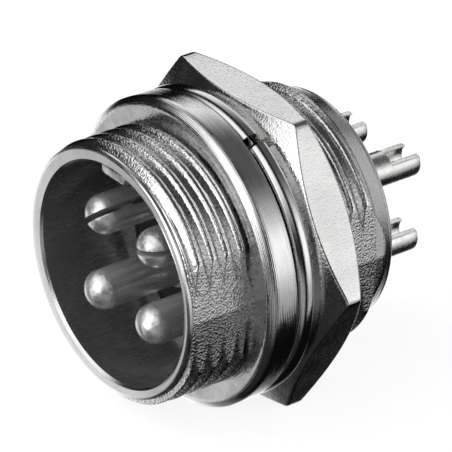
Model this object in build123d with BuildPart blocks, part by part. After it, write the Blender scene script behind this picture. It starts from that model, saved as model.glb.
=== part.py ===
"""Threaded circular panel connector: a flanged shell, two insulators, four slotted contacts, a snap ring and
the panel hardware. Millimetres. The axis runs along Y, the mating end faces -Y, the key is at +Z and Y = 0 is
the rear face of the flange, which rests on the panel."""
import os
from math import cos, radians, sin, tan

from build123d import *

os.makedirs("parts", exist_ok=True)

# Fits
bearing_gap = 0.05
seat_gap = 0.02
washer_play = 0.08
nut_play = 0.06
panel_gap = 0.30
washer_nut_gap = 0.12

# Shell, outside
thread_radius = 7.90
thread_depth = 0.57
thread_flat_depth = 0.50
thread_pitch = 1.00
thread_angle = 60.0
thread_groove_depth = 0.40
rim_drop = 0.45
rim_length = 0.50
rim_chamfer = 0.22
sleeve_length = 4.35
relief_width = 0.60
flange_overhang = 1.43
flange_thickness = 1.90
flange_bevel_depth = 0.33
flange_bevel_width = 0.38
flange_rear_rounding = 0.10
barrel_length = 8.75
barrel_chamfer_length = 1.65
barrel_end_drop = 0.85
barrel_end_rounding = 0.25

# Shell, inside
sleeve_wall = 1.15
socket_edge_chamfer = 0.15
lip_height = 0.65
lip_front_station = -0.10
lip_thickness = 0.80
barrel_wall = 1.40
ring_groove_depth = 0.35
key_width = 2.40
key_height = 0.60
key_rounding = 0.35
key_recess = 0.10

# Insulators
insulator_face_station = 0.10
front_disc_length = 3.30
insulator_edge_chamfer = 0.20
cup_well_depth = 0.60
cup_well_play = 0.40

# Contacts
contact_spacing = 4.93
pin_radius = 1.20
pin_dome_height = 1.10
pin_tip_recess = 0.25
pin_slot_width = 0.36
pin_slot_floor_rise = 0.30
shank_step = 0.20
shank_stand = 0.05
collar_step = 0.25
collar_thickness = 0.80
cup_radius = 1.05
cup_bore_radius = 0.75
cup_bore_depth = 4.40
cup_length_behind_barrel = 4.85
cup_window_length = 1.65
cup_window_rounding = 0.20
cup_window_direction = 125.0
cup_edge_rounding = 0.12
pin_slot_directions = (40.0, 10.0, -62.0, -62.0)

# Snap ring
ring_thickness = 0.70
ring_setback = 1.05
ring_reach = 0.65
ring_mouth_angle = 46.0

# Panel hardware
washer_thickness = 1.00
washer_rounding = 0.45
washer_split_width = 0.70
washer_split_direction = 64.0
nut_flat_setback = 0.08
nut_thickness = 3.30
nut_chamfer_angle = 30.0
nut_face_setback = 0.62
nut_bore_chamfer = 0.35

# Radii and widths that follow from them
thread_root_radius = thread_radius - thread_depth
thread_flat_distance = thread_radius - thread_flat_depth
thread_groove_width = 2 * thread_groove_depth * tan(radians(thread_angle / 2))
rim_radius = thread_radius - rim_drop
flange_radius = thread_radius + flange_overhang
barrel_end_radius = thread_radius - barrel_end_drop
socket_radius = thread_radius - sleeve_wall
lip_radius = socket_radius - lip_height
barrel_bore_radius = thread_radius - barrel_wall
ring_inner_radius = barrel_bore_radius - ring_reach
washer_bore_radius = thread_radius + washer_play
washer_width = flange_radius - washer_bore_radius
nut_across_flats = 2 * (flange_radius - nut_flat_setback)
nut_face_radius = nut_across_flats / 2 - nut_face_setback
shank_radius = pin_radius + shank_step
collar_radius = shank_radius + collar_step

# Stations along the axis
flange_front = -flange_thickness
rim_front = flange_front - sleeve_length
coupling_thread_front = rim_front + rim_length + rim_drop
coupling_thread_rear = flange_front - relief_width
panel_thread_rear = barrel_length - barrel_chamfer_length
lip_rear = lip_front_station + lip_thickness
disc_joint = lip_rear + seat_gap + front_disc_length
groove_rear = barrel_length - ring_setback
groove_front = groove_rear - ring_thickness - 2 * seat_gap
disc_rear = groove_front - seat_gap
rear_disc_length = disc_rear - seat_gap - disc_joint
cup_end = barrel_length + cup_length_behind_barrel
pin_tip = rim_front + pin_tip_recess
pin_shoulder = pin_tip + pin_dome_height
shank_front = insulator_face_station - shank_stand
collar_front = disc_joint - collar_thickness
washer_front = panel_gap
nut_front = washer_front + washer_thickness + washer_nut_gap
half_spacing = contact_spacing / 2
contact_places = (
    (-half_spacing, half_spacing),
    (half_spacing, half_spacing),
    (-half_spacing, -half_spacing),
    (half_spacing, -half_spacing),
)


def across(station):
    """Plane across the axis at a station, facing the mating end, with +X to the right and +Z up."""
    return Plane.XZ.offset(-station)


def thread_grooves(start, end):
    """Profile points of the V grooves between two stations, one thread pitch apart and centred."""
    count = int((end - start - thread_groove_width) / thread_pitch) + 1
    first = (start + end - (count - 1) * thread_pitch) / 2
    points = []
    for number in range(count):
        middle = first + number * thread_pitch
        points += [
            (thread_radius, middle - thread_groove_width / 2),
            (thread_radius - thread_groove_depth, middle),
            (thread_radius, middle + thread_groove_width / 2),
        ]
    return points


def save(part, label):
    """Labels a finished solid and writes its STEP file."""
    part.label = label
    export_step(part, f"parts/{label}.step")


# Shell: one casting turned about the axis
with BuildPart() as shell:
    with BuildSketch(Plane.XY):
        with BuildLine():
            Polyline(
                (socket_radius + socket_edge_chamfer, rim_front),
                (rim_radius, rim_front),
                (rim_radius, rim_front + rim_length),
                (thread_radius, coupling_thread_front),
                *thread_grooves(coupling_thread_front, coupling_thread_rear),
                (thread_radius, coupling_thread_rear),
                (thread_root_radius, coupling_thread_rear + thread_depth),
                (thread_root_radius, flange_front),
                (flange_radius - flange_bevel_width, flange_front),
                (flange_radius, flange_front + flange_bevel_depth),
                (flange_radius, 0),
                (thread_radius, 0),
                *thread_grooves(0, panel_thread_rear),
                (thread_radius, panel_thread_rear),
                (barrel_end_radius, barrel_length),
                (barrel_bore_radius, barrel_length),
                (barrel_bore_radius, groove_rear),
                (barrel_bore_radius + ring_groove_depth, groove_rear),
                (barrel_bore_radius + ring_groove_depth, groove_front),
                (barrel_bore_radius, groove_front),
                (barrel_bore_radius, lip_rear),
                (lip_radius, lip_rear),
                (lip_radius, lip_front_station),
                (socket_radius, lip_front_station),
                (socket_radius, rim_front + socket_edge_chamfer),
                close=True,
            )
        make_face()
    revolve(axis=Axis.Y)

    # Chamfered rim, rounded flange rear edge and barrel end
    outer_rims = shell.edges().filter_by(GeomType.CIRCLE)
    rim_edge = outer_rims.filter_by_position(Axis.Y, rim_front, rim_front).sort_by(SortBy.RADIUS)[-1]
    chamfer(rim_edge, length=rim_chamfer)
    flange_rear_edge = (
        shell.edges().filter_by(GeomType.CIRCLE).filter_by_position(Axis.Y, 0, 0).sort_by(SortBy.RADIUS)[-1]
    )
    fillet(flange_rear_edge, radius=flange_rear_rounding)
    barrel_end_edge = (
        shell.edges()
        .filter_by(GeomType.CIRCLE)
        .filter_by_position(Axis.Y, barrel_length, barrel_length)
        .sort_by(SortBy.RADIUS)[-1]
    )
    fillet(barrel_end_edge, radius=barrel_end_rounding)

    # Flats along both threads, on either side
    for thread_start, thread_end in ((rim_front + rim_length, flange_front), (0, barrel_length)):
        with BuildSketch(across(thread_end)):
            Circle(flange_radius)
            Rectangle(2 * thread_flat_distance, 2 * flange_radius, mode=Mode.SUBTRACT)
        extrude(amount=thread_end - thread_start, mode=Mode.SUBTRACT)

    # Key on the wall of the socket
    with BuildSketch(across(lip_front_station)):
        with Locations((0, socket_radius)):
            RectangleRounded(key_width, 2 * key_height, key_rounding)
        Circle((socket_radius + rim_radius) / 2, mode=Mode.INTERSECT)
    extrude(amount=lip_front_station - rim_front - key_recess)

save(shell.part, "shell")

# Front insulator: a boss through the lip, shank holes and counterbores for the collars
with BuildPart() as front_insulator:
    with BuildSketch(Plane.XY):
        with BuildLine():
            Polyline(
                (0, insulator_face_station),
                (lip_radius - bearing_gap, insulator_face_station),
                (lip_radius - bearing_gap, lip_rear + seat_gap),
                (barrel_bore_radius - bearing_gap, lip_rear + seat_gap),
                (barrel_bore_radius - bearing_gap, disc_joint),
                (0, disc_joint),
                close=True,
            )
        make_face()
    revolve(axis=Axis.Y)
    with BuildSketch(across(disc_joint)):
        with Locations(*contact_places):
            Circle(shank_radius + bearing_gap)
    extrude(amount=disc_joint - insulator_face_station, mode=Mode.SUBTRACT)
    with BuildSketch(across(disc_joint)):
        with Locations(*contact_places):
            Circle(collar_radius + bearing_gap)
    extrude(amount=collar_thickness + seat_gap, mode=Mode.SUBTRACT)

save(front_insulator.part, "front_insulator")

# Rear insulator: the disc that closes on the collars, with a shallow well round each cup
with BuildPart() as rear_insulator:
    with BuildSketch(across(disc_rear)):
        Circle(barrel_bore_radius - bearing_gap)
        with Locations(*contact_places):
            Circle(cup_radius + bearing_gap, mode=Mode.SUBTRACT)
    extrude(amount=rear_disc_length)
    with BuildSketch(across(disc_rear)):
        with Locations(*contact_places):
            Circle(cup_radius + cup_well_play)
    extrude(amount=cup_well_depth, mode=Mode.SUBTRACT)
    rear_face = rear_insulator.faces().sort_by(Axis.Y)[-1]
    chamfer(rear_face.outer_wire().edges(), length=insulator_edge_chamfer)

save(rear_insulator.part, "rear_insulator")


def contact(label, place, slot_direction):
    """One contact: domed pin, shank, collar and solder cup, turned about its own axis, then slotted."""
    x, z = place
    with BuildPart() as body:
        with BuildSketch(Plane.XY.offset(z)):
            with BuildLine():
                EllipticalCenterArc(
                    (x, pin_shoulder), pin_radius, pin_dome_height, start_angle=270, arc_size=90
                )
                Polyline(
                    (x + pin_radius, pin_shoulder),
                    (x + pin_radius, shank_front),
                    (x + shank_radius, shank_front),
                    (x + shank_radius, collar_front),
                    (x + collar_radius, collar_front),
                    (x + collar_radius, disc_joint - seat_gap),
                    (x + cup_radius, disc_joint - seat_gap),
                    (x + cup_radius, cup_end),
                    (x + cup_bore_radius, cup_end),
                    (x + cup_bore_radius, cup_end - cup_bore_depth),
                    (x, cup_end - cup_bore_depth - cup_bore_radius / 2),
                    (x, pin_tip),
                )
            make_face()
        revolve(axis=Axis((x, 0, z), (0, 1, 0)))

        # Rounded mouth of the cup
        mouth = body.edges().filter_by(GeomType.CIRCLE).filter_by_position(Axis.Y, cup_end, cup_end)
        fillet(mouth.sort_by(SortBy.RADIUS)[-1], radius=cup_edge_rounding)

        # Slot down the exposed length of the pin
        slot_floor = insulator_face_station - pin_slot_floor_rise
        with BuildSketch(across(slot_floor)):
            with Locations(place):
                Rectangle(2 * collar_radius, pin_slot_width, rotation=slot_direction)
        extrude(amount=slot_floor - pin_tip, mode=Mode.SUBTRACT)

        # Window that opens one half of the cup
        toward = (cos(radians(cup_window_direction)), 0, sin(radians(cup_window_direction)))
        window_plane = Plane(
            origin=(x, cup_end, z), x_dir=toward, z_dir=Vector(*toward).cross(Vector(0, 1, 0))
        )
        with BuildSketch(window_plane):
            with Locations((0, -cup_window_length)):
                Rectangle(2 * cup_radius, 2 * cup_window_length, align=(Align.MIN, Align.MIN))
            inner_corner = vertices().sort_by_distance((0, -cup_window_length))[0]
            fillet(inner_corner, radius=cup_window_rounding)
        extrude(amount=cup_radius, both=True, mode=Mode.SUBTRACT)
    save(body.part, label)


for number, (place, slot_direction) in enumerate(zip(contact_places, pin_slot_directions), start=1):
    contact(f"contact_{number}", place, slot_direction)

# Snap ring in the groove of the barrel, with its mouth at the bottom
with BuildPart() as snap_ring:
    with BuildSketch(across(groove_rear - seat_gap)):
        Circle(barrel_bore_radius + ring_groove_depth - bearing_gap)
        Circle(ring_inner_radius, mode=Mode.SUBTRACT)
        with BuildLine():
            half_mouth = radians(ring_mouth_angle / 2)
            reach = 2 * barrel_bore_radius
            Polyline(
                (0, 0),
                (reach * sin(half_mouth), -reach * cos(half_mouth)),
                (-reach * sin(half_mouth), -reach * cos(half_mouth)),
                close=True,
            )
        make_face(mode=Mode.SUBTRACT)
    extrude(amount=ring_thickness)

save(snap_ring.part, "snap_ring")

# Split lock washer behind the flange
with BuildPart() as lock_washer:
    with BuildSketch(Plane.XY):
        with Locations((washer_bore_radius + washer_width / 2, washer_front + washer_thickness / 2)):
            RectangleRounded(washer_width, washer_thickness, washer_rounding)
    revolve(axis=Axis.Y)
    with BuildSketch(across(washer_front + washer_thickness)):
        with Locations(Rotation(0, 0, washer_split_direction) * Location((washer_bore_radius, 0))):
            Rectangle(4 * washer_width, washer_split_width)
    extrude(amount=washer_thickness, mode=Mode.SUBTRACT)

save(lock_washer.part, "lock_washer")

# Hex nut, chamfered on both faces
with BuildPart() as hex_nut:
    nut_rear = nut_front + nut_thickness
    corner_radius = nut_across_flats / 2 / cos(radians(30))
    corner_drop = (corner_radius - nut_face_radius) * tan(radians(nut_chamfer_angle))
    with BuildSketch(across(nut_rear)):
        RegularPolygon(nut_across_flats / 2, 6, major_radius=False)
    extrude(amount=nut_thickness)
    with BuildSketch(Plane.XY):
        with BuildLine():
            Polyline(
                (0, nut_front),
                (nut_face_radius, nut_front),
                (corner_radius, nut_front + corner_drop),
                (corner_radius, nut_rear - corner_drop),
                (nut_face_radius, nut_rear),
                (0, nut_rear),
                close=True,
            )
        make_face()
    revolve(axis=Axis.Y, mode=Mode.INTERSECT)
    with BuildSketch(across(nut_rear)):
        Circle(thread_radius + nut_play)
    extrude(amount=nut_thickness, mode=Mode.SUBTRACT)
    bore_edges = hex_nut.edges().filter_by(GeomType.CIRCLE).group_by(SortBy.RADIUS)[0]
    chamfer(bore_edges, length=nut_bore_chamfer)

save(hex_nut.part, "hex_nut")
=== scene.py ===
"""Looks of a threaded circular panel connector with four slotted contacts.

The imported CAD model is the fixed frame. This script dresses it: a cast shell with a true helical thread, the
lock washer, the chamfered nut and the slotted contacts as fine meshes, nickel, silver, spring steel and black
plastic as procedural finishes, and a plain studio round them. Sizes in the classes are millimetres unless their
class says metres, and every mesh is written in metres.
"""
import logging
from dataclasses import dataclass
from enum import Enum
from math import cos, pi, radians, sin, tan

import bpy
import numpy as np
from mathutils import Matrix, Vector


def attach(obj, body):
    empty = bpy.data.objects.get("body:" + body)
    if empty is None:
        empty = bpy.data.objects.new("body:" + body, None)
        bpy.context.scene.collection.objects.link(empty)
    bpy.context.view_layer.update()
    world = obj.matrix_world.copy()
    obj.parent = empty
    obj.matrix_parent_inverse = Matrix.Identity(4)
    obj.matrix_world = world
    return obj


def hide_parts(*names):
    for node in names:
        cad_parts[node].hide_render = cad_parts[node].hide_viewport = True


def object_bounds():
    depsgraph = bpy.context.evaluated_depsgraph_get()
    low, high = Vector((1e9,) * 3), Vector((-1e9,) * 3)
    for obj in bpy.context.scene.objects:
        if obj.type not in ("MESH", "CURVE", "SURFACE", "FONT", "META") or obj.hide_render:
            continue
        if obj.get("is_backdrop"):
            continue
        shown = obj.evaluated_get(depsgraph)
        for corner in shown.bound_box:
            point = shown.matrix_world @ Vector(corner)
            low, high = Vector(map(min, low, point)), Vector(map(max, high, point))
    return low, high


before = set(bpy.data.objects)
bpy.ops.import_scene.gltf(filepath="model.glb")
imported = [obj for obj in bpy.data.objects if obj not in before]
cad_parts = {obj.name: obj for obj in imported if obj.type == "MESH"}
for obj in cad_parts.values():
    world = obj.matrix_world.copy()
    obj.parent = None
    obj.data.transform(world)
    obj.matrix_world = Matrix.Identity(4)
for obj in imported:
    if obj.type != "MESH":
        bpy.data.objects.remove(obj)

MM = 0.001
LOG = logging.getLogger("connector")
Value = float | bpy.types.NodeSocket
Tone = tuple[float, float, float]
SOOT: Tone = (0.02, 0.02, 0.02)
NOISE_MIDDLE = (0.35, 0.65)  # between these a noise texture has most of its values
NOISE_WIDE = (0.3, 0.7)
PIT_LEVELS = (0.30, 0.46)  # grain below the first is a pit, above the second it is clean
BEVEL_FROM = 35.0  # degrees between two faces
SHARP_FROM = 40.0
FINE_EDGE_SEGMENTS = 2


class Recipe:
    """Adds nodes to one tree and joins them, so that a rule reads as plain sums."""

    def __init__(self, tree: bpy.types.NodeTree) -> None:
        """Starts on an empty tree.

        Args:
            tree: the shader or geometry tree to fill.
        """
        self.tree = tree
        tree.nodes.clear()

    def add(self, kind: str, **settings: object) -> bpy.types.Node:
        """Adds one node.

        Args:
            kind: the node's type name.
            settings: properties to set on it.

        Returns:
            The new node.
        """
        node = self.tree.nodes.new(kind)
        for name, value in settings.items():
            setattr(node, name, value)
        return node

    def put(self, socket: bpy.types.NodeSocket, value: object) -> None:
        """Links a socket to value where that is a socket, and sets it otherwise.

        Args:
            socket: the input to feed.
            value: a socket, or what the input is set to.
        """
        if isinstance(value, bpy.types.NodeSocket):
            self.tree.links.new(value, socket)
        else:
            socket.default_value = value

    def sum(self, operation: str, *values: Value) -> bpy.types.NodeSocket:
        """Adds one Math node.

        Args:
            operation: the Math node's operation.
            values: numbers or sockets, in the node's order.

        Returns:
            The result's socket.
        """
        node = self.add("ShaderNodeMath", operation=operation)
        for socket, value in zip(node.inputs, values):
            self.put(socket, value)
        return node.outputs[0]

    def span(
        self, value: Value, start: float, end: float, low: float = 0.0, high: float = 1.0, smooth: bool = True
    ) -> bpy.types.NodeSocket:
        """Maps a value from start..end to low..high, clamped.

        Args:
            value: what is mapped.
            start: the value that gives low.
            end: the value that gives high.
            low: the first result.
            high: the last result.
            smooth: eases in and out.

        Returns:
            The result's socket.
        """
        node = self.add("ShaderNodeMapRange", interpolation_type="SMOOTHSTEP" if smooth else "LINEAR")
        names = ("Value", "From Min", "From Max", "To Min", "To Max")
        for name, number in zip(names, (value, start, end, low, high)):
            self.put(node.inputs[name], number)
        return node.outputs["Result"]

    def apart(self, vector: bpy.types.NodeSocket) -> tuple[bpy.types.NodeSocket, ...]:
        """Splits a vector.

        Args:
            vector: what is split.

        Returns:
            The sockets of its x, y and z.
        """
        node = self.add("ShaderNodeSeparateXYZ")
        self.put(node.inputs[0], vector)
        return tuple(node.outputs)

    def together(self, x: Value, y: Value, z: Value) -> bpy.types.NodeSocket:
        """Joins three values.

        Args:
            x: the first part.
            y: the second part.
            z: the third part.

        Returns:
            The vector's socket.
        """
        node = self.add("ShaderNodeCombineXYZ")
        for socket, value in zip(node.inputs, (x, y, z)):
            self.put(socket, value)
        return node.outputs[0]

    def radius(self, x: Value, z: Value) -> bpy.types.NodeSocket:
        """Distance from the connector's axis."""
        return self.sum("SQRT", self.sum("MULTIPLY_ADD", x, x, self.sum("MULTIPLY", z, z)))

    def noise(self, vector: Value, scale: float, detail: float = 2.0) -> bpy.types.NodeSocket:
        """Adds a Noise texture.

        Args:
            vector: the point that it reads.
            scale: how fine it is.
            detail: how many finer layers it has.

        Returns:
            The socket of its grey value.
        """
        node = self.add("ShaderNodeTexNoise")
        self.put(node.inputs["Vector"], vector)
        node.inputs["Scale"].default_value = scale
        node.inputs["Detail"].default_value = detail
        return node.outputs[0]

    def attribute(self, name: str, kind: str) -> bpy.types.NodeSocket:
        """Reads a named attribute of the mesh in a geometry tree.

        Args:
            name: the attribute's name.
            kind: its data type.

        Returns:
            The socket of its value.
        """
        node = self.add("GeometryNodeInputNamedAttribute", data_type=kind)
        node.inputs["Name"].default_value = name
        return node.outputs[0]

    def seen_directly(self) -> bpy.types.NodeSocket:
        """Gives 1 on camera and transmission rays. Glossy rays are left out: the metal reflects the soft boxes."""
        path = self.add("ShaderNodeLightPath")
        return self.sum("MAXIMUM", path.outputs["Is Camera Ray"], path.outputs["Is Transmission Ray"])


def blank_finish(name: str) -> tuple[bpy.types.Material, Recipe, bpy.types.NodeSocket]:
    """Starts a finish that reads Object coordinates.

    Args:
        name: the material's name.

    Returns:
        The material, its recipe and the point in millimetres.
    """
    material = bpy.data.materials.new(name)
    material.use_nodes = True
    recipe = Recipe(material.node_tree)
    scaled = recipe.add("ShaderNodeVectorMath", operation="SCALE")
    recipe.put(scaled.inputs[0], recipe.add("ShaderNodeTexCoord").outputs["Object"])
    scaled.inputs["Scale"].default_value = 1 / MM
    return material, recipe, scaled.outputs[0]


def coat(
    recipe: Recipe, height: Value, roughness: Value, shade: Value, tones: tuple[Tone, Tone], metallic: float
) -> None:
    """Ends a finish: one shader with its bump, its gloss and its colour.

    Args:
        recipe: the tree being built.
        height: height of the relief, in millimetres.
        roughness: the shader's roughness.
        shade: 0 for the first tone, 1 for the second.
        tones: the darkest and the lightest tone.
        metallic: the shader's metallic share.
    """
    shader = recipe.add("ShaderNodeBsdfPrincipled")
    shader.inputs["Metallic"].default_value = metallic
    bump = recipe.add("ShaderNodeBump")
    bump.inputs["Distance"].default_value = MM
    recipe.put(bump.inputs["Height"], height)
    recipe.put(shader.inputs["Normal"], bump.outputs[0])
    recipe.put(shader.inputs["Roughness"], roughness)
    tint = recipe.add("ShaderNodeMix", data_type="RGBA", blend_type="MIX")
    recipe.put(tint.inputs[0], shade)
    tint.inputs[6].default_value = (*tones[0], 1)
    tint.inputs[7].default_value = (*tones[1], 1)
    recipe.put(shader.inputs["Base Color"], tint.outputs[2])
    recipe.put(recipe.add("ShaderNodeOutputMaterial").inputs[0], shader.outputs[0])


class Lay(Enum):
    """How the tool marks of a surface run."""

    NONE = "none"
    TURNED = "round the axis"
    DRAWN = "along the axis"


@dataclass(frozen=True)
class Metal:
    """A bright metal finish: tone, gloss, cast grain and tool marks.

    Lengths are millimetres. The grain is calmed to calm_share of its height between the two levels of calm_band.
    Stain and pit share darken towards soot. The stretches draw the marks out along the axis or round it, and the
    wander bends the lathe's feed lines.
    """

    name: str
    tone: Tone = (0.75, 0.75, 0.745)
    roughness: float = 0.22
    roughness_spread: float = 0.08
    grain_size: float = 0.12
    grain_height: float = 0.0
    calm_band: tuple[float, float] = (0.0, 0.0)
    calm_share: float = 1.0
    pit_share: float = 0.0
    lay: Lay = Lay.NONE
    mark_width: float = 0.05
    mark_height: float = 0.0
    line_pitch: float = 0.0
    line_height: float = 0.0
    stain: float = 0.10
    stain_scale: float = 0.55
    calm_fades: tuple[float, float] = (0.8, 0.5)
    wander_scale: float = 1.6
    wander_turn: float = 5.0
    drawn_stretch: float = 0.02
    turned_stretch: float = 0.12
    metallic: float = 1.0

    def make(self) -> bpy.types.Material:
        """Builds the material.

        Returns:
            A node material that reads Object coordinates.
        """
        material, recipe, spot = blank_finish(self.name)
        grain = recipe.noise(spot, 1 / self.grain_size, 1.5)
        stain = recipe.noise(spot, self.stain_scale, 3.0)
        height = recipe.sum("MULTIPLY", grain, self.grain_height)
        if self.calm_share < 1:
            level, (low, high) = recipe.apart(spot)[2], self.calm_band
            below, above = self.calm_fades
            calm = recipe.sum("MAXIMUM", recipe.span(level, low - below, low + below, 1.0, self.calm_share),
                              recipe.span(level, high - above, high + above, self.calm_share, 1.0))
            height = recipe.sum("MULTIPLY", height, calm)
        marks = grain
        if self.lay is not Lay.NONE:
            marks = recipe.noise(self.mark_vector(recipe, spot), 1 / self.mark_width, 2.0)
            height = recipe.sum("MULTIPLY_ADD", marks, self.mark_height, height)
        if self.line_pitch:
            height = recipe.sum("MULTIPLY_ADD", self.lines(recipe, spot), self.line_height, height)
        wear = recipe.sum("MULTIPLY_ADD", marks, 0.5, recipe.sum("MULTIPLY", stain, 0.5))
        roughness = recipe.span(wear, *NOISE_MIDDLE, self.roughness - self.roughness_spread,
                                self.roughness + self.roughness_spread)
        shade = recipe.span(stain, *NOISE_MIDDLE, 1 - self.stain, 1.0)
        if self.pit_share:
            shade = recipe.sum("MULTIPLY", shade, recipe.span(grain, *PIT_LEVELS, 1 - self.pit_share, 1.0))
        coat(recipe, height, roughness, shade, (SOOT, self.tone), self.metallic)
        return material

    def lines(self, recipe: Recipe, spot: bpy.types.NodeSocket) -> bpy.types.NodeSocket:
        """Draws the regular feed lines of the lathe, a little uneven round the axis.

        Args:
            recipe: the tree being built.
            spot: the point in millimetres.

        Returns:
            A wave from -1 to 1.
        """
        x, y, z = recipe.apart(spot)
        path = recipe.sum("DIVIDE", recipe.sum("ADD", recipe.radius(x, z), y), self.line_pitch / (2 * pi))
        wander = recipe.sum("MULTIPLY", recipe.noise(spot, self.wander_scale), self.wander_turn)
        return recipe.sum("SINE", recipe.sum("ADD", path, wander))

    def mark_vector(self, recipe: Recipe, spot: bpy.types.NodeSocket) -> bpy.types.NodeSocket:
        """Lays the marks out round the axis or along it.

        Args:
            recipe: the tree being built.
            spot: the point in millimetres.

        Returns:
            The vector that the mark noise reads.
        """
        x, y, z = recipe.apart(spot)
        if self.lay is Lay.DRAWN:
            return recipe.together(x, recipe.sum("MULTIPLY", y, self.drawn_stretch), z)
        slow = recipe.sum("MULTIPLY", recipe.sum("ARCTAN2", z, x), self.turned_stretch)
        return recipe.together(recipe.radius(x, z), y, slow)


@dataclass(frozen=True)
class Plastic:
    """A moulded black plastic with a fine matt grain."""

    name: str
    tone: Tone = (0.018, 0.018, 0.019)
    roughness: float = 0.42
    grain_size: float = 0.09
    grain_height: float = 0.006
    cloud_scale: float = 0.8
    roughness_spread: tuple[float, float] = (-0.06, 0.08)
    dark_share: float = 0.7

    def make(self) -> bpy.types.Material:
        """Builds the material.

        Returns:
            A node material that reads Object coordinates.
        """
        material, recipe, spot = blank_finish(self.name)
        grain = recipe.noise(spot, 1 / self.grain_size, 2.0)
        cloud = recipe.noise(spot, self.cloud_scale, 2.0)
        glossy, matt = (self.roughness + spread for spread in self.roughness_spread)
        coat(recipe, recipe.sum("MULTIPLY", grain, self.grain_height), recipe.span(cloud, *NOISE_WIDE, glossy, matt),
             recipe.span(grain, *NOISE_MIDDLE), (tuple(self.dark_share * part for part in self.tone), self.tone), 0.0)
        return material


CAST_THREAD = Metal("cast_nickel_thread", roughness=0.10, roughness_spread=0.04, grain_size=0.13, grain_height=0.055,
                    calm_band=(3.4, 7.3), calm_share=0.30, pit_share=0.45)
TURNED_RIM = Metal("turned_nickel_rim", roughness=0.20, grain_size=0.10, grain_height=0.006, lay=Lay.TURNED,
                   mark_width=0.06, mark_height=0.005)
TURNED_FLANGE = Metal("turned_nickel_flange", roughness=0.12, roughness_spread=0.05, grain_size=0.14,
                      grain_height=0.003, lay=Lay.TURNED, mark_width=0.05, mark_height=0.007, line_pitch=0.124,
                      line_height=0.0026)
CAST_FACE = Metal("cast_nickel_face", roughness=0.18, grain_size=0.14, grain_height=0.012, stain=0.2)
# The bore's darker tone is painted shade: it darkens the socket's recess in its colour.
SHADED_BORE = Metal("nickel_bore_painted_shade", tone=(0.42, 0.42, 0.42), metallic=0.90, roughness=0.26, roughness_spread=0.06,
                      grain_size=0.25, grain_height=0.004, lay=Lay.DRAWN, mark_width=0.12, mark_height=0.006)
# The key's darker tone is painted shade of the socket's recess, not a different metal.
SHADED_KEY = Metal("nickel_key_painted_shade", tone=(0.45, 0.45, 0.445), roughness=0.28, grain_size=0.13, grain_height=0.025)
BARREL_END = Metal("turned_nickel_end", roughness=0.20, grain_size=0.12, grain_height=0.014, lay=Lay.TURNED,
                   mark_width=0.08, mark_height=0.006)
SATIN_NUT = Metal("satin_nickel_nut", roughness=0.15, roughness_spread=0.06, grain_size=0.13, grain_height=0.012,
                  stain=0.14)
POLISHED_WASHER = Metal("polished_nickel_washer", roughness=0.10, roughness_spread=0.04, grain_size=0.16,
                        grain_height=0.004, lay=Lay.TURNED, mark_width=0.10, mark_height=0.002)
CONTACT_SILVER = Metal("contact_silver", tone=(0.90, 0.90, 0.89), roughness=0.30, grain_size=0.16,
                       grain_height=0.010, stain=0.16)
SATIN_DOME = Metal("satin_silver_dome", tone=(0.97, 0.97, 0.96), metallic=0.80, roughness=0.36,
                   roughness_spread=0.10, grain_size=0.30, grain_height=0.040, stain=0.30)
DRAWN_SHANK = Metal("drawn_silver_shank", tone=(0.88, 0.88, 0.87), metallic=0.76, roughness=0.22, roughness_spread=0.06,
                    grain_size=0.20, grain_height=0.002, lay=Lay.DRAWN, mark_width=0.09, mark_height=0.003)
SPRING_STEEL = Metal("spring_steel", tone=(0.42, 0.42, 0.43), roughness=0.28, grain_size=0.14, grain_height=0.006)
BLACK_INSULATOR = Plastic("insulator_black")


class Dresser:
    """Keeps one material for each finish and puts them on objects."""

    def __init__(self) -> None:
        """Starts with no material made."""
        self.made: dict[str, bpy.types.Material] = {}

    def material(self, finish: Metal | Plastic) -> bpy.types.Material:
        """Looks up a finish's material and makes it the first time.

        Args:
            finish: the finish that is asked for.

        Returns:
            Its material.
        """
        if finish.name not in self.made:
            self.made[finish.name] = finish.make()
        return self.made[finish.name]

    def paint_node(self, node: str, finish: Metal | Plastic) -> None:
        """Puts a finish on every material slot of a CAD node.

        Args:
            node: the CAD node's name.
            finish: what it is finished in.
        """
        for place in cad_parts[node].material_slots:
            place.material = self.material(finish)
        LOG.info("%s keeps its CAD shape and gets %s", node, finish.name)


def new_piece(
    name: str,
    points: np.ndarray,
    faces: list[tuple[int, ...]],
    materials: list[bpy.types.Material],
    indices: list[int] | None = None,
    sharp: list[int] | None = None,
) -> bpy.types.Object:
    """Makes a smooth-shaded mesh object from points in millimetres.

    Args:
        name: the piece's name.
        points: n x 3 points.
        faces: point numbers of each face, turning outwards.
        materials: the piece's material slots.
        indices: the slot number of each face.
        sharp: for each point, the number of its hard row or 0; an edge inside one hard row stays sharp.

    Returns:
        The linked object, at the origin.
    """
    mesh = bpy.data.meshes.new(name)
    mesh.from_pydata((points * MM).tolist(), [], faces)
    for material in materials:
        mesh.materials.append(material)
    mesh.shade_smooth()
    if indices is not None:
        mesh.polygons.foreach_set("material_index", indices)
    if sharp is not None:
        ends = np.zeros(2 * len(mesh.edges), np.int32)
        mesh.edges.foreach_get("vertices", ends)
        ends = ends.reshape(-1, 2)
        row = np.asarray(sharp)
        hard = (row[ends[:, 0]] > 0) & (row[ends[:, 0]] == row[ends[:, 1]])
        marks = mesh.attributes.new("sharp_edge", "BOOLEAN", "EDGE")
        marks.data.foreach_set("value", hard)
    mesh.update()
    piece = bpy.data.objects.new(name, mesh)
    bpy.context.scene.collection.objects.link(piece)
    return piece


class Zone(Enum):
    """Parts of the shell that are finished alike; the value is the shell's material slot."""

    THREAD = 0
    RIM = 1
    FACE = 2
    FLANGE = 3
    BORE = 4
    KEY = 5
    END = 6


@dataclass
class Station:
    """One turned row of a profile: its place along the axis, its radius and what lies after it."""

    y: float
    radius: float
    zone: Zone
    sharp: bool = False


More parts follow.
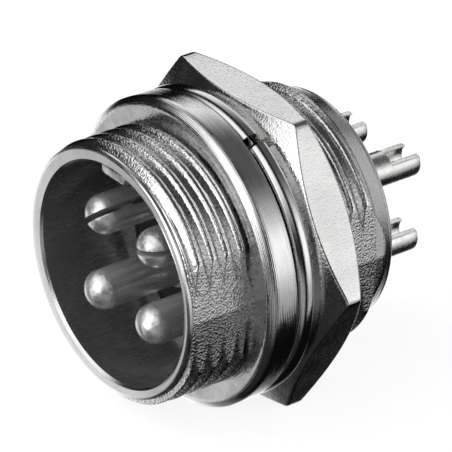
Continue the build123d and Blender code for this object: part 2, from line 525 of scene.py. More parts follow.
def turned_faces(rows: int, steps: int) -> np.ndarray:
    """Quads of a closed ring of closed rows, turning outwards where rows run from front to rear outside.

    Args:
        rows: number of rows round the profile.
        steps: number of points round the axis.

    Returns:
        (rows * steps) x 4 point numbers.
    """
    row, step = np.meshgrid(np.arange(rows), np.arange(steps), indexing="ij")
    next_row, next_step = (row + 1) % rows, (step + 1) % steps
    quads = np.stack(
        [row * steps + step, next_row * steps + step, next_row * steps + next_step, row * steps + next_step], -1
    )
    return quads.reshape(-1, 4)


def turned_points(rows: list[tuple[float | np.ndarray, float]], turns: np.ndarray) -> np.ndarray:
    """Points of a turned blank.

    Args:
        rows: radius and station of each row; the radius may differ round the axis.
        turns: angles round the axis.

    Returns:
        n x 3 points, row by row.
    """
    points = [[radius * np.cos(turns), np.full(len(turns), y), radius * np.sin(turns)] for radius, y in rows]
    return np.array(points).transpose(0, 2, 1).reshape(-1, 3)


@dataclass
class ThreadedShell:
    """The cast shell: threaded sleeve with its socket and key, flange, and the long threaded barrel behind it.

    The key's nose is drawn in by pairs of distance behind its front and inset. Points round the axis are fine_step
    degrees apart within fine_reach of +X and -X, where the facets are.
    """

    pitch: float = 1.0
    crest_radius: float = 7.90
    crest_rounding: float = 0.285
    root_radius: float = 7.31
    root_rounding: float = 0.01
    lead_station: float = -5.28
    lead_direction: float = 50.0
    facet_distance: float = 7.305
    facet_tilt: float = 4.5
    rim_front: float = -6.25
    rim_radius: float = 7.56
    rim_offset: tuple[float, float] = (-0.28, -0.05)
    lean_width: float = 0.3
    rim_chamfer: float = 0.14
    rim_length: float = 0.34
    rim_step: float = 0.10
    rim_dish: float = 0.06
    socket_radius: float = 6.75
    socket_chamfer: float = 0.15
    relief_start: float = -2.12
    relief_slope: float = 0.12
    flange_front: float = -1.90
    flange_radius: float = 9.33
    bevel_width: float = 0.38
    bevel_depth: float = 0.33
    rear_rounding: float = 0.10
    barrel_thread_start: float = 0.10
    barrel_row_share: float = 0.9
    barrel_end: float = 8.75
    barrel_end_zone: float = 1.75
    end_zone_radius: float = 7.58
    end_zone_slope: float = 0.30
    barrel_end_radius: float = 7.10
    barrel_end_rounding: float = 0.30
    bore_radius: float = 6.50
    groove_front: float = 6.96
    groove_rear: float = 7.70
    groove_radius: float = 6.85
    lip_front: float = -0.10
    lip_rear: float = 0.70
    lip_radius: float = 6.10
    key_width: float = 2.40
    key_height: float = 0.60
    key_rounding: float = 0.35
    key_recess: float = 0.10
    key_root: float = 0.15
    key_nose: tuple[tuple[float, float], ...] = ((0.16, 0.0), (0.06, 0.05), (0.0, 0.16))
    key_nose_size: float = 1.2
    key_nose_drop: float = 0.1
    groove_fade: float = 0.4
    flank_angle: float = 60.0
    rows_per_pitch: int = 20
    fine_reach: float = 33.0
    fine_step: float = 0.8
    coarse_steps: int = 58

    def directions(self) -> np.ndarray:
        """Spaces the points round the axis, close together at the two sides where the facets are.

        Returns:
            Their angles in radians.
        """
        fine = np.arange(-self.fine_reach, self.fine_reach, self.fine_step)
        coarse = np.linspace(self.fine_reach, 180.0 - self.fine_reach, self.coarse_steps, endpoint=False)
        angles = np.concatenate([fine, coarse, 180.0 + fine, 180.0 + coarse])
        return np.radians(angles)

    def corners(self) -> list[tuple[float, float, int, Zone, bool]]:
        """Lists the corners of the closed profile, in the order of its rows.

        Returns:
            Station, radius, rows up to the next corner, zone, and whether the corner is hard.
        """
        front, rim, edge, rear = self.rim_front, self.rim_radius, self.flange_radius, self.barrel_end
        crest, root, bore, socket = self.crest_radius, self.root_radius, self.bore_radius, self.socket_radius
        start, first = front + self.rim_length + self.rim_step, self.barrel_thread_start
        zone, density = rear - self.barrel_end_zone, self.rows_per_pitch / self.pitch
        soft, end_soft, end = self.rear_rounding, self.barrel_end_rounding, self.barrel_end_radius
        quarter = [radians(90 * number / 4) for number in range(5)]
        eighths = [radians(90 * number / 8) for number in range(8)]
        return [
            (front, socket + self.socket_chamfer, 5, Zone.RIM, True),
            (front + self.rim_dish, rim - self.rim_chamfer, 3, Zone.RIM, False),
            (front + self.rim_chamfer, rim, 6, Zone.RIM, True),
            (front + self.rim_length, rim, 6, Zone.THREAD, False),
            (start, crest, round((self.relief_start - start) * density), Zone.THREAD, False),
            (self.relief_start, crest, 3, Zone.THREAD, False),
            (self.relief_start + self.relief_slope, root, 2, Zone.THREAD, False),
            (self.flange_front, root, 6, Zone.FACE, True),
            (self.flange_front, edge - self.bevel_width, 3, Zone.FLANGE, False),
            (self.flange_front + self.bevel_depth, edge, 4, Zone.FLANGE, False),
            *((-soft * (1 - sin(turn)), edge - soft * (1 - cos(turn)), 1, Zone.FLANGE, False) for turn in quarter),
            (0.0, edge - soft, 4, Zone.FACE, True),
            (0.0, root, 2, Zone.THREAD, False),
            (first, crest, round((zone - first) * density * self.barrel_row_share), Zone.THREAD, False),
            (zone, crest, 4, Zone.THREAD, False),
            (zone + self.end_zone_slope, self.end_zone_radius, 8, Zone.END, False),
            *((rear - end_soft * (1 - sin(turn)), end - end_soft * (1 - cos(turn)), 1, Zone.END, False)
              for turn in eighths),
            (rear, end - end_soft, 3, Zone.RIM, False),
            (rear, bore, 2, Zone.FACE, True),
            (self.groove_rear, bore, 1, Zone.FACE, True),
            (self.groove_rear, self.groove_radius, 1, Zone.FACE, True),
            (self.groove_front, self.groove_radius, 1, Zone.FACE, True),
            (self.groove_front, bore, 2, Zone.FACE, True),
            (self.lip_rear, bore, 1, Zone.FACE, True),
            (self.lip_rear, self.lip_radius, 1, Zone.FACE, True),
            (self.lip_front, self.lip_radius, 2, Zone.FACE, True),
            (self.lip_front, socket, 12, Zone.BORE, True),
            (front + self.socket_chamfer, socket, 2, Zone.RIM, True),
        ]

    def profile(self) -> list[Station]:
        """Fills in the rows between the corners.

        Returns:
            Rows from the rim outwards, to the rear, and back through the bore.
        """
        rows: list[Station] = []
        corners = self.corners()
        for (y, radius, count, zone, hard), (next_y, next_radius, *_) in zip(corners, corners[1:] + corners[:1]):
            for number in range(count):
                share = number / count
                rows.append(Station(y + share * (next_y - y), radius + share * (next_radius - radius), zone,
                                    hard and number == 0))
        return rows

    def rim_lean(self, row: Station) -> float:
        """Finds how far a row takes part in the casting's off-centre rim, from the socket's edge outwards.

        Args:
            row: the row of the profile.

        Returns:
            A share from 0 to 1.
        """
        left = (self.rim_front + self.rim_length + self.rim_step - row.y) / self.rim_step
        inner = self.socket_radius + self.socket_chamfer
        return min(max(left, 0.0), 1.0) * min(max((row.radius - inner) / self.lean_width, 0.0), 1.0)

    def groove_share(self, y: float) -> float:
        """Finds how deep the grooves are at a station, fading out at the barrel's end.

        Args:
            y: the station.

        Returns:
            A share of the front thread's depth, from 0 to 1.
        """
        if y < 0:
            return 1.0
        left = self.barrel_end - self.barrel_end_zone - y
        return min(max(0.5 + left / self.groove_fade, 0.0), 1.0)

    def key_outline(self) -> list[tuple[float, float]]:
        """Draws the key across the axis, from inside the wall down to its rounded foot.

        Returns:
            Its (x, z) points.
        """
        half, foot = self.key_width / 2, self.socket_radius - self.key_height
        top, soft = self.socket_radius + self.key_root, self.key_rounding
        corner = [(half - soft * (1 - cos(turn)), foot + soft * (1 - sin(turn))) for turn in np.linspace(0, pi / 2, 7)]
        return [(half, top), *corner, *((-x, z) for x, z in reversed(corner)), (-half, top)]

    def key(self, offset: int) -> tuple[np.ndarray, list[tuple[int, ...]], list[int]]:
        """Builds the key as a closed prism with a softened front end.

        Args:
            offset: number of the first point.

        Returns:
            Points, faces and the sharp number of each point.
        """
        outline = np.array(self.key_outline())
        centre = np.array([0.0, self.socket_radius - self.key_nose_drop])
        front = self.rim_front + self.key_recess
        levels = [(self.lip_front, 0.0), *((front + behind, inset) for behind, inset in self.key_nose)]
        points = []
        for y, inset in levels:
            drawn = centre + (outline - centre) * (1 - inset / self.key_nose_size)
            points += [(x, y, z) for x, z in drawn]
        count = len(outline)
        faces: list[tuple[int, ...]] = []
        for level in range(len(levels) - 1):
            for number in range(count):
                after = (number + 1) % count
                a, b = level * count, (level + 1) * count
                faces.append((offset + a + number, offset + b + number, offset + b + after, offset + a + after))
        faces.append(tuple(offset + number for number in range(count)))
        last = (len(levels) - 1) * count
        faces.append(tuple(offset + last + number for number in reversed(range(count))))
        return np.array(points), faces, [0] * len(points)

    def thread_rule(self) -> bpy.types.GeometryNodeTree:
        """Builds the rule that cuts the helical thread and the two draft facets into the turned blank.

        Returns:
            The geometry node tree.
        """
        tree = bpy.data.node_groups.new("helical_thread", "GeometryNodeTree")
        tree.interface.new_socket("Geometry", in_out="INPUT", socket_type="NodeSocketGeometry")
        names = ("Pitch", "Crest radius", "Crest rounding", "Root radius", "Root rounding", "Lead station",
                 "Lead direction", "Facet distance", "Facet tilt")
        for name in names:
            tree.interface.new_socket(name, in_out="INPUT", socket_type="NodeSocketFloat")
        tree.interface.new_socket("Finish", in_out="INPUT", socket_type="NodeSocketMaterial")
        tree.interface.new_socket("Geometry", in_out="OUTPUT", socket_type="NodeSocketGeometry")
        recipe = Recipe(tree)
        source = recipe.add("NodeGroupInput")
        given = {name: source.outputs[name] for name in (*names, "Geometry", "Finish")}
        spot = recipe.add("GeometryNodeInputPosition").outputs[0]
        x, y, z = recipe.apart(spot)
        radius, turn = recipe.radius(x, z), recipe.sum("ARCTAN2", z, x)
        along = recipe.sum("DIVIDE", recipe.sum("SUBTRACT", y, given["Lead station"]), given["Pitch"])
        round_share = recipe.sum("DIVIDE", recipe.sum("SUBTRACT", turn, given["Lead direction"]), 2 * pi)
        turns_away = recipe.sum("PINGPONG", recipe.sum("ADD", along, round_share), 0.5)
        away = recipe.sum("MULTIPLY", turns_away, given["Pitch"])
        rounding = given["Crest rounding"]
        inside = recipe.sum("MAXIMUM", recipe.sum(
            "SUBTRACT", recipe.sum("MULTIPLY", rounding, rounding), recipe.sum("MULTIPLY", away, away)), 0.0)
        arc = recipe.sum("SUBTRACT", rounding, recipe.sum("SQRT", inside))
        steep = radians(self.flank_angle)
        edge = recipe.sum("MULTIPLY", rounding, sin(steep))
        flank = recipe.sum("MULTIPLY_ADD", recipe.sum("SUBTRACT", away, edge), tan(steep),
                           recipe.sum("MULTIPLY", rounding, 1 - cos(steep)))
        on_crest = recipe.sum("LESS_THAN", away, edge)
        drop = recipe.sum("MULTIPLY_ADD", on_crest, recipe.sum("SUBTRACT", arc, flank), flank)
        depth = recipe.sum("MULTIPLY", drop, recipe.attribute("groove_share", "FLOAT"))
        cut = recipe.sum("SMOOTH_MAX", recipe.sum("SUBTRACT", given["Crest radius"], depth), given["Root radius"],
                         given["Root rounding"])
        aside = recipe.sum("PINGPONG", turn, pi / 2)
        facet = recipe.sum("DIVIDE", given["Facet distance"],
                           recipe.sum("COSINE", recipe.sum("SUBTRACT", aside, given["Facet tilt"])))
        new_radius = recipe.sum("MINIMUM", recipe.sum("MINIMUM", cut, facet), radius)
        scale = recipe.sum("DIVIDE", new_radius, radius)
        target = recipe.together(recipe.sum("MULTIPLY", x, scale), y, recipe.sum("MULTIPLY", z, scale))
        move = recipe.add("GeometryNodeSetPosition")
        recipe.put(move.inputs["Geometry"], given["Geometry"])
        recipe.put(move.inputs["Selection"], recipe.attribute("threaded", "BOOLEAN"))
        recipe.put(move.inputs["Position"], target)
        whole = recipe.add("GeometryNodeRealizeInstances")
        recipe.put(whole.inputs[0], move.outputs[0])
        paint = recipe.add("GeometryNodeSetMaterial")
        recipe.put(paint.inputs["Geometry"], whole.outputs[0])
        recipe.put(paint.inputs["Selection"], recipe.attribute("thread_face", "BOOLEAN"))
        recipe.put(paint.inputs["Material"], given["Finish"])
        result = recipe.add("NodeGroupOutput")
        recipe.put(result.inputs[0], paint.outputs[0])
        return tree

    def build(self, dresser: Dresser) -> bpy.types.Object:
        """Makes the shell and puts it in place of its CAD node.

        Args:
            dresser: where the finishes come from.

        Returns:
            The finished piece.
        """
        rows, turns = self.profile(), self.directions()
        steps = len(turns)
        points = turned_points([(row.radius, row.y) for row in rows], turns)
        lean = np.repeat([self.rim_lean(row) for row in rows], steps)
        points[:, 0] += lean * self.rim_offset[0]
        points[:, 2] += lean * self.rim_offset[1]
        faces = [tuple(quad) for quad in turned_faces(len(rows), steps).tolist()]
        indices, sharp, threaded, shares = (np.repeat(values, steps).tolist() for values in (
            [row.zone.value for row in rows],
            [number + 1 if row.sharp else 0 for number, row in enumerate(rows)],
            [row.zone in (Zone.THREAD, Zone.END) for row in rows],
            [self.groove_share(row.y) for row in rows],
        ))
        key_points, key_faces, key_sharp = self.key(len(points))
        finishes = {Zone.THREAD: CAST_THREAD, Zone.RIM: TURNED_RIM, Zone.FACE: CAST_FACE, Zone.FLANGE: TURNED_FLANGE,
                    Zone.BORE: SHADED_BORE, Zone.KEY: SHADED_KEY, Zone.END: BARREL_END}
        piece = new_piece(
            "threaded_shell",
            np.concatenate([points, key_points]),
            faces + key_faces,
            [dresser.material(finishes[zone]) for zone in Zone],
            indices + [Zone.KEY.value] * len(key_faces),
            sharp + key_sharp,
        )
        marks = (
            ("threaded", "BOOLEAN", "POINT", threaded + [False] * len(key_points)),
            ("groove_share", "FLOAT", "POINT", shares + [0.0] * len(key_points)),
            ("thread_face", "BOOLEAN", "FACE",
             [slot == Zone.THREAD.value for slot in indices] + [False] * len(key_faces)),
        )
        for name, kind, domain, values in marks:
            piece.data.attributes.new(name, kind, domain).data.foreach_set("value", values)
        lengths = {
            "Pitch": self.pitch, "Crest radius": self.crest_radius, "Crest rounding": self.crest_rounding,
            "Root radius": self.root_radius, "Root rounding": self.root_rounding, "Lead station": self.lead_station,
            "Facet distance": self.facet_distance,
        }
        sizes: dict[str, object] = {name: length * MM for name, length in lengths.items()}
        sizes |= {"Lead direction": radians(self.lead_direction), "Facet tilt": radians(self.facet_tilt),
                  "Finish": dresser.material(CAST_THREAD)}
        run_rule(piece, self.thread_rule(), sizes)
        settle(piece, "connector", "shell_nickel", "shell")
        LOG.info("threaded shell: %d faces, pitch %.2f mm", len(piece.data.polygons), self.pitch)
        return piece


def keep_result(piece: bpy.types.Object, all_layers: bool = False) -> None:
    """Turns what a piece's modifiers show into its own plain mesh.

    Args:
        piece: the object; its modifiers are taken off.
        all_layers: keeps every data layer of the blank.
    """
    bpy.context.view_layer.update()
    graph = bpy.context.evaluated_depsgraph_get()
    shown = piece.evaluated_get(graph)
    result = bpy.data.meshes.new_from_object(shown, preserve_all_data_layers=all_layers, depsgraph=graph)
    piece.modifiers.clear()
    blank = piece.data
    result.name = blank.name + "_cut"
    piece.data = result
    bpy.data.meshes.remove(blank)


def run_rule(piece: bpy.types.Object, tree: bpy.types.GeometryNodeTree, sizes: dict[str, object]) -> None:
    """Runs a geometry node tree on a piece and keeps its result as a plain mesh.

    Args:
        piece: the object that carries the blank mesh.
        tree: the rule.
        sizes: the tree's named inputs.
    """
    modifier = piece.modifiers.new(tree.name, "NODES")
    modifier.node_group = tree
    for socket in tree.interface.items_tree:
        if socket.in_out == "INPUT" and socket.name in sizes:
            modifier[socket.identifier] = sizes[socket.name]
    keep_result(piece, True)


def settle(piece: bpy.types.Object, body: str, slot: str, *nodes: str) -> None:
    """Lets a finished piece ride on its body in place of CAD nodes.

    Args:
        piece: the finished object.
        body: the CAD body that it moves with.
        slot: the record's material slot; not used.
        nodes: the CAD nodes that it stands for.
    """
    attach(piece, body)
    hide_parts(*nodes)


@dataclass
class LockWasher:
    """The split spring washer: a rounded band, cut through once."""

    bore_radius: float = 7.98
    outer_radius: float = 9.33
    front: float = 0.30
    crown: float = 0.98
    rear: float = 1.34
    front_drop: float = 0.50
    rear_drop: float = 0.28
    bore_rounding: float = 0.20
    split_lift: float = 0.12
    split_width: float = 0.70
    split_direction: float = 64.0
    steps: int = 300

    def section(self) -> np.ndarray:
        """Draws the band across: a crowned outside and softly broken bore edges.

        Returns:
            Its (radius, station) points.
        """
        points = []
        for turn in np.radians(np.linspace(-90, 0, 15)):
            points.append((self.outer_radius - self.front_drop * (1 - cos(turn)),
                           self.crown + (self.crown - self.front) * sin(turn)))
        for turn in np.radians(np.linspace(0, 90, 11)[1:]):
            points.append((self.outer_radius - self.rear_drop * (1 - cos(turn)),
                           self.crown + (self.rear - self.crown) * sin(turn)))
        soft = self.bore_rounding
        for station, start in ((self.rear - soft, 90), (self.front + soft, 180)):
            for turn in np.radians(np.linspace(start, start + 90, 5)):
                points.append((self.bore_radius + soft + soft * cos(turn), station + soft * sin(turn)))
        return np.array(points)

    def build(self, dresser: Dresser) -> bpy.types.Object:
        """Makes the washer and puts it in place of its CAD node.

        Args:
            dresser: where the finish comes from.

        Returns:
            The finished piece.
        """
        section = self.section()
        count = len(section)
        points = []
        half = self.split_width / 2
        for step in range(self.steps + 1):
            share = step / self.steps
            for radius, y in section:
                gap = half / radius
                turn = radians(self.split_direction) + gap + share * (2 * pi - 2 * gap)
                points.append((radius * cos(turn), y - self.split_lift * (1 - share), radius * sin(turn)))
        faces: list[tuple[int, ...]] = []
        for step in range(self.steps):
            for number in range(count):
                after = (number + 1) % count
                a, b = step * count, (step + 1) * count
                faces.append((a + number, a + after, b + after, b + number))
        faces.append(tuple(reversed(range(count))))
        faces.append(tuple(self.steps * count + number for number in range(count)))
        ends = [1] * count + [0] * (count * (self.steps - 1)) + [2] * count
        piece = new_piece("lock_washer_band", np.array(points), faces, [dresser.material(POLISHED_WASHER)], None, ends)
        settle(piece, "washer", "washer_nickel", "lock_washer")
        LOG.info("lock washer: %d faces", len(faces))
        return piece


@dataclass
class PanelNut:
    """The hexagon nut, chamfered on both faces, with softened edges."""

    across_flats: float = 18.50
    front: float = 1.42
    thickness: float = 3.30
    front_face_radius: float = 8.30
    front_angle: float = 27.0
    rear_face_radius: float = 8.62
    rear_angle: float = 31.0
    bore_radius: float = 7.96
    bore_chamfer: float = 0.35
    front_ring_radius: float = 8.25
    rear_ring_radius: float = 8.50
    chamfer_zone: float = 1.28
    flat_row: float = 1.5
    edge_softness: float = 0.10
    corner_power: float = 110.0
    chamfer_rows: int = 33
    steps: int = 360

    def hexagon(self, turns: np.ndarray) -> np.ndarray:
        """Measures the softened hexagon.

        Args:
            turns: directions round the axis.

        Returns:
            Its distance from the axis in each direction.
        """
        total = np.zeros_like(turns)
        for number in range(6):
            total += np.maximum(np.cos(turns - radians(30 + 60 * number)), 0) ** self.corner_power
        return self.across_flats / 2 / total ** (1 / self.corner_power)

    def outer(self, turns: np.ndarray, y: float) -> np.ndarray:
        """Measures the outside at a station, where the chamfer cones cut the hexagon.

        Args:
            turns: directions round the axis.
            y: the station.

        Returns:
            Its radius in each direction.
        """
        cone = min(self.front_face_radius + (y - self.front) / tan(radians(self.front_angle)),
                   self.rear_face_radius + (self.front + self.thickness - y) / tan(radians(self.rear_angle)))
        flat = self.hexagon(turns)
        soft = self.edge_softness
        share = np.clip(0.5 + 0.5 * (flat - cone) / soft, 0, 1)
        return flat * (1 - share) + cone * share - soft * share * (1 - share)

    def build(self, dresser: Dresser) -> bpy.types.Object:
        """Makes the nut and puts it in place of its CAD node.

        Args:
            dresser: where the finish comes from.

        Returns:
            The finished piece.
        """
        turns = np.linspace(0, 2 * pi, self.steps, endpoint=False)
        rear = self.front + self.thickness
        near = np.concatenate([np.linspace(0, self.chamfer_zone, self.chamfer_rows), [self.flat_row]])
        stations = np.concatenate([self.front + near, (rear - near)[::-1][1:]])
        mouth = self.bore_radius + self.bore_chamfer
        rows = [(mouth, self.front), (self.front_ring_radius, self.front)]
        rows += [(self.outer(turns, y), y) for y in stations]
        rows += [(self.rear_ring_radius, rear), (mouth, rear)]
        rows += [(self.bore_radius, y) for y in (rear - self.bore_chamfer, self.front + self.bore_chamfer)]
        sharp = [True, False, True] + [False] * (len(stations) - 2) + [True, False, True, True, True]
        faces = [tuple(quad) for quad in turned_faces(len(rows), self.steps).tolist()]
        marks = [number + 1 if hard else 0 for number, hard in enumerate(sharp) for _ in range(self.steps)]
        piece = new_piece("panel_nut", turned_points(rows, turns), faces, [dresser.material(SATIN_NUT)], None, marks)
        settle(piece, "nut", "nut_nickel", "hex_nut")
        LOG.info("panel nut: %d faces", len(faces))
        return piece


def whittle(piece: bpy.types.Object, cutters: list[bpy.types.Object], softness: float) -> None:
    """Cuts closed solids out of a piece, softens the edges and keeps the result as a plain mesh.

    Args:
        piece: the object to cut.
        cutters: closed objects, which are removed afterwards.
        softness: width of the small bevel on each edge, in millimetres.
    """
    for cutter in cutters:
        cut = piece.modifiers.new(cutter.name, "BOOLEAN")
        cut.operation, cut.solver, cut.object = "DIFFERENCE", "EXACT", cutter
    bevel = piece.modifiers.new("edges", "BEVEL")
    bevel.width, bevel.segments = softness * MM, FINE_EDGE_SEGMENTS
    bevel.limit_method, bevel.angle_limit = "ANGLE", radians(BEVEL_FROM)
    keep_result(piece)
    for cutter in cutters:
        shape = cutter.data
        bpy.data.objects.remove(cutter)
        bpy.data.meshes.remove(shape)
    piece.data.shade_smooth()
    piece.data.set_sharp_from_angle(angle=radians(SHARP_FROM))


def block(name: str, low: tuple[float, float, float], high: tuple[float, float, float], turn: float,
          place: tuple[float, float]) -> bpy.types.Object:
    """Makes a closed block that stands for a cutter's path.

    Args:
        name: the block's name.
        low: lowest corner along its own three directions, in millimetres.
        high: highest corner.
        turn: how far its first direction is turned from +X towards +Z, in degrees.
        place: x and z of the contact that it cuts.

    Returns:
        The block.
    """
    across, up = cos(radians(turn)), sin(radians(turn))
    points = []
    for a, y, b in ((i, j, k) for i in (low[0], high[0]) for j in (low[1], high[1]) for k in (low[2], high[2])):
        points.append((place[0] + a * across - b * up, y, place[1] + a * up + b * across))
    faces = [(0, 1, 3, 2), (4, 6, 7, 5), (0, 4, 5, 1), (2, 3, 7, 6), (0, 2, 6, 4), (1, 5, 7, 3)]
    return new_piece(name, np.array(points), faces, [])


@dataclass
class SlottedContacts:
    """The four turned contacts: domed slotted pin, shank, collar and a solder cup with an open window."""

    half_spacing: float = 2.465
    pin_radius: float = 1.20
    pin_tip: float = -6.00
    dome_height: float = 1.10
    shank_front: float = 0.05
    shank_radius: float = 1.40
    collar_front: float = 3.22
    collar_radius: float = 1.65
    collar_rear: float = 4.00
    cup_radius: float = 1.05
    cup_bore_radius: float = 0.75
    cup_end: float = 13.60
    cup_bore_depth: float = 4.40
    cup_rounding: float = 0.12
    cup_corner_share: float = 0.3
    tip_angle: float = 2.0
    cup_rows_start: float = 8.0
    drill_point_radius: float = 0.03
    silver_start: float = 1.0
    slot_width: float = 0.36
    slot_floor: float = -0.20
    slot_directions: tuple[float, ...] = (40.0, 10.0, -62.0, -62.0)
    window_length: float = 2.10
    window_direction: float = 85.0
    window_distance: float = 0.58
    edge_softness: float = 0.05
    cutter_reach: float = 2.0
    window_reach: float = 3.0
    slot_overrun: float = 0.5
    window_overrun: float = 0.9
    steps: int = 56

    def outline(self) -> list[tuple[float, float]]:
        """Draws the profile of one contact, from the tip to the bottom of the cup's bore.

        Returns:
            Its (radius, station) rows.
        """
        rows = []
        shoulder = self.pin_tip + self.dome_height
        for turn in np.linspace(self.tip_angle, 90.0, 13):
            rows.append((self.pin_radius * sin(radians(turn)), shoulder - self.dome_height * cos(radians(turn))))
        rows += [(self.pin_radius, y) for y in np.linspace(shoulder, self.shank_front, 9)[1:]]
        rows += [(self.shank_radius, self.shank_front), (self.shank_radius, self.collar_front),
                 (self.collar_radius, self.collar_front), (self.collar_radius, self.collar_rear),
                 (self.cup_radius, self.collar_rear)]
        rows += [(self.cup_radius, y) for y in np.linspace(self.cup_rows_start, self.cup_end - self.cup_rounding, 12)]
        corner = self.cup_corner_share * self.cup_rounding
        rows += [(self.cup_radius - corner, self.cup_end - corner),
                 (self.cup_radius - self.cup_rounding, self.cup_end), (self.cup_bore_radius, self.cup_end)]
        floor = self.cup_end - self.cup_bore_depth
        rows += [(self.cup_bore_radius, y) for y in np.linspace(self.cup_end, floor, 9)[1:]]
        rows.append((self.drill_point_radius, floor - self.cup_bore_radius / 2))
        return rows

    def blank(self, name: str, place: tuple[float, float], finishes: list[bpy.types.Material]) -> bpy.types.Object:
        """Turns one closed contact before its slot and window are cut.

        Args:
            name: the piece's name.
            place: x and z of its axis.
            finishes: the finishes of its dome, its shank and the rest.

        Returns:
            The blank.
        """
        rows = self.outline()
        turns = np.linspace(0, 2 * pi, self.steps, endpoint=False)
        points = [(place[0] + radius * cos(turn), y, place[1] + radius * sin(turn))
                  for radius, y in rows for turn in turns]
        quads = turned_faces(len(rows), self.steps).tolist()[: -self.steps]
        last = (len(rows) - 1) * self.steps
        caps = [tuple(range(self.steps)), tuple(last + number for number in reversed(range(self.steps)))]
        return new_piece(name, np.array(points), [tuple(quad) for quad in quads] + caps, finishes)

    def build(self, dresser: Dresser) -> list[bpy.types.Object]:
        """Makes each contact and puts it in place of its CAD node.

        Args:
            dresser: where the finish comes from.

        Returns:
            The finished pieces.
        """
        pieces = []
        half = self.half_spacing
        places = ((-half, half), (half, half), (-half, -half), (half, -half))
        for number, (place, direction) in enumerate(zip(places, self.slot_directions), start=1):
            node = f"contact_{number}"
            finishes = [dresser.material(finish) for finish in (SATIN_DOME, DRAWN_SHANK, CONTACT_SILVER)]
            piece = self.blank(node + "_pin", place, finishes)
            thick, reach = self.slot_width / 2, self.cutter_reach
            slot = block("slot", (-reach, self.pin_tip - self.slot_overrun, -thick), (reach, self.slot_floor, thick),
                         direction, place)
            window = block("window", (self.window_distance, self.cup_end - self.window_length, -reach),
                           (self.window_reach, self.cup_end + self.window_overrun, reach), self.window_direction, place)
            whittle(piece, [slot, window], self.edge_softness)
            shoulder = (self.pin_tip + self.dome_height) * MM
            for face in piece.data.polygons:
                face.material_index = int(face.center.y > shoulder) + int(face.center.y > self.silver_start * MM)
            settle(piece, "connector", "contact_silver", node)
            pieces.append(piece)
            LOG.info("%s: %d faces", piece.name, len(piece.data.polygons))
        return pieces


@dataclass(frozen=True)
class SoftBox:
    """One bright part of the studio, as seen from the connector.

    Angles turn round the connector's axis from +X towards +Z, in degrees. Axial values run from -1, straight in
    front of the socket, to 1, straight behind. The box is full between its two inner values and fades to the outer.
    """

    name: str
    angles: tuple[float, float, float, float]
    axial: tuple[float, float, float, float]
    strength: float


ALL_ROUND = (-180, -179, 179, 180)
BESIDE = (-0.05, 0.30, 0.72, 0.92)
STUDIO = (
    SoftBox("right wall", (-41, -34, 40, 64), BESIDE, 0.50),
    SoftBox("right window", (-28, 6, 17, 46), BESIDE, 0.76),
    SoftBox("upper left box", (103, 146, 148, 156), (-0.05, 0.25, 0.72, 0.92), 1.12),
    SoftBox("overhead", (50, 60, 112, 125), (-0.10, 0.20, 0.72, 0.92), 0.10),
    SoftBox("front top box", (10, 72, 125, 145), (-2.0, -1.5, -0.45, -0.10), 0.32),
    SoftBox("front top wall", (10, 72, 138, 155), (-2.0, -1.5, -0.45, -0.10), 0.95),
    SoftBox("front high box", (-15, 5, 168, 178), (-2.0, -1.5, -0.92, -0.83), 1.15),
    SoftBox("front pole", ALL_ROUND, (-2.0, -1.5, -0.985, -0.955), 1.15),
    SoftBox("front room", ALL_ROUND, (-2.0, -1.5, -0.40, -0.10), 0.022),
    SoftBox("front right", (-60, -35, -22, 0), (-2.0, -1.5, -0.35, -0.10), 0.33),
    SoftBox("backdrop", (-172, -160, -135, -118), (-0.46, -0.30, 0.72, 0.92), 1.30),
    SoftBox("table left", (-170, -160, -130, -110), (-2.0, -1.5, -0.44, -0.30), 0.57),
    SoftBox("below", (-140, -125, -115, -100), (-0.30, 0.10, 0.72, 0.92), 0.29),
    SoftBox("rear pole", ALL_ROUND, (0.90, 0.97, 1.5, 2.0), 0.40),
    SoftBox("room behind", (-50, -30, 150, 170), (0.70, 0.90, 1.5, 2.0), 0.20),
)


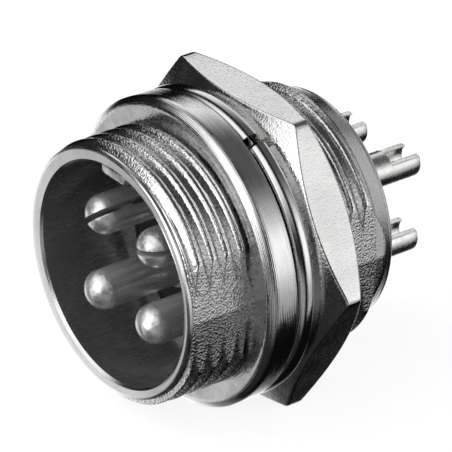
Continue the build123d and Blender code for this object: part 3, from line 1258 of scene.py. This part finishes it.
@dataclass
class Studio:
    """Camera, world, lamps and the plain pale floor.

    The floor's half side and the camera's clip range are metres.
    """

    camera_place: tuple[float, float, float] = (238.56, -185.17, 167.05)
    forward: tuple[float, float, float] = (-0.6896, 0.5411, -0.4813)
    upward: tuple[float, float, float] = (-0.3913, 0.2808, 0.8764)
    lens: float = 477.9
    floor_station: float = -9.335
    floor_half_side: float = 3.0
    ambient: float = 0.004
    paper: float = 0.86
    paper_tones: tuple[float, float] = (0.28, 0.30)
    fibre_scale: float = 900.0
    sensor_width: float = 36.0
    clip_range: tuple[float, float] = (0.01, 20.0)

    def camera(self) -> None:
        """Sets the camera at the photograph's angle."""
        forward, up = Vector(self.forward).normalized(), Vector(self.upward)
        up = (up - up.dot(forward) * forward).normalized()
        right = forward.cross(up)
        turn = Matrix((right, up, -forward)).transposed()
        data = bpy.data.cameras.new("camera")
        data.lens, data.sensor_width, data.sensor_fit = self.lens, self.sensor_width, "HORIZONTAL"
        data.clip_start, data.clip_end = self.clip_range
        camera = bpy.data.objects.new("camera", data)
        camera.matrix_world = Matrix.Translation(Vector(self.camera_place) * MM) @ turn.to_4x4()
        bpy.context.scene.collection.objects.link(camera)
        bpy.context.scene.camera = camera

    def world(self) -> None:
        """Builds the world: white paper for the camera, and soft boxes in a dark room for what the metal reflects."""
        world = bpy.data.worlds.new("studio")
        world.use_nodes = True
        bpy.context.scene.world = world
        recipe = Recipe(world.node_tree)
        x, y, z = recipe.apart(recipe.add("ShaderNodeTexCoord").outputs["Generated"])
        turn = recipe.sum("ARCTAN2", z, x)
        total: Value = self.ambient
        for box in STUDIO:
            outer_start, start, end, outer_end = (radians(angle) for angle in box.angles)
            centre = (start + end) / 2
            from_centre = recipe.sum("WRAP", recipe.sum("SUBTRACT", turn, centre), pi, -pi)
            nearest, near, far, farthest = box.axial
            shares = (
                recipe.span(from_centre, outer_start - centre, start - centre),
                recipe.span(from_centre, outer_end - centre, end - centre),
                recipe.span(y, nearest, near),
                recipe.span(y, farthest, far),
            )
            share = recipe.sum("MULTIPLY", recipe.sum("MULTIPLY", shares[0], shares[1]),
                               recipe.sum("MULTIPLY", shares[2], shares[3]))
            total = recipe.sum("MULTIPLY_ADD", share, box.strength, total)
        strength = recipe.add("ShaderNodeMix", data_type="FLOAT")
        recipe.put(strength.inputs[0], recipe.seen_directly())
        recipe.put(strength.inputs[2], total)
        strength.inputs[3].default_value = 1.0
        light = recipe.add("ShaderNodeBackground")
        light.inputs["Color"].default_value = (1, 1, 1, 1)
        recipe.put(light.inputs["Strength"], strength.outputs[0])
        output = recipe.add("ShaderNodeOutputWorld")
        recipe.put(output.inputs[0], light.outputs[0])

    def lamp(self, name: str, place: tuple[float, float, float], size: float, power: float) -> None:
        """Adds a soft area lamp that aims at the connector.

        Args:
            name: the lamp's name.
            place: where it hangs, in metres.
            size: its side, in metres.
            power: its power in watts.
        """
        data = bpy.data.lights.new(name, "AREA")
        data.shape, data.size, data.energy = "SQUARE", size, power
        lamp = bpy.data.objects.new(name, data)
        lamp.matrix_world = Matrix.Translation(place) @ Vector(place).to_track_quat("Z", "Y").to_matrix().to_4x4()
        lamp.visible_glossy = False
        bpy.context.scene.collection.objects.link(lamp)

    def floor(self) -> None:
        """Lays the pale paper floor, which keeps the connector's soft shadow and which glossy rays don't see."""
        mesh = bpy.data.meshes.new("paper_floor")
        side, level = self.floor_half_side, self.floor_station * MM
        mesh.from_pydata([(-side, -side, level), (side, -side, level), (side, side, level), (-side, side, level)], [],
                         [(0, 1, 2, 3)])
        material = bpy.data.materials.new("white_paper")
        material.use_nodes = True
        recipe = Recipe(material.node_tree)
        matt = recipe.add("ShaderNodeBsdfDiffuse")
        place = recipe.add("ShaderNodeTexCoord").outputs["Object"]
        fibre = recipe.span(recipe.noise(place, self.fibre_scale), *NOISE_WIDE, *self.paper_tones)
        recipe.put(matt.inputs["Color"], fibre)
        glow = recipe.add("ShaderNodeEmission")
        recipe.put(glow.inputs["Strength"], recipe.sum("MULTIPLY", recipe.seen_directly(), self.paper))
        both = recipe.add("ShaderNodeAddShader")
        recipe.put(both.inputs[0], matt.outputs[0])
        recipe.put(both.inputs[1], glow.outputs[0])
        output = recipe.add("ShaderNodeOutputMaterial")
        recipe.put(output.inputs[0], both.outputs[0])
        mesh.materials.append(material)
        floor = bpy.data.objects.new("paper_floor", mesh)
        floor.visible_glossy = False
        bpy.context.scene.collection.objects.link(floor)
        floor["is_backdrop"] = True

    def build(self) -> None:
        """Sets up everything that isn't part of the connector."""
        bpy.context.scene.view_settings.view_transform = "Standard"
        self.camera()
        self.world()
        self.lamp("lamp_above_left", (-0.35, -0.45, 0.75), size=0.6, power=2.6)
        self.lamp("lamp_right", (0.75, 0.20, 0.45), size=0.5, power=1.2)
        self.floor()
        LOG.info("studio: camera, %d soft boxes, two lamps, paper floor", len(STUDIO))


def corners() -> list[list[float]]:
    """Lowest and highest corner of what is shown, as plain lists."""
    return [list(corner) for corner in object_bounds()]


def main() -> None:
    """Builds the pieces in order."""
    logging.basicConfig(level=logging.INFO, format="%(message)s")
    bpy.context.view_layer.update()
    dresser = Dresser()
    ThreadedShell().build(dresser)
    LockWasher().build(dresser)
    PanelNut().build(dresser)
    SlottedContacts().build(dresser)
    for node, finish in (("front_insulator", BLACK_INSULATOR), ("rear_insulator", BLACK_INSULATOR),
                         ("snap_ring", SPRING_STEEL)):
        dresser.paint_node(node, finish)
    Studio().build()


if __name__ == "__main__":
    main()
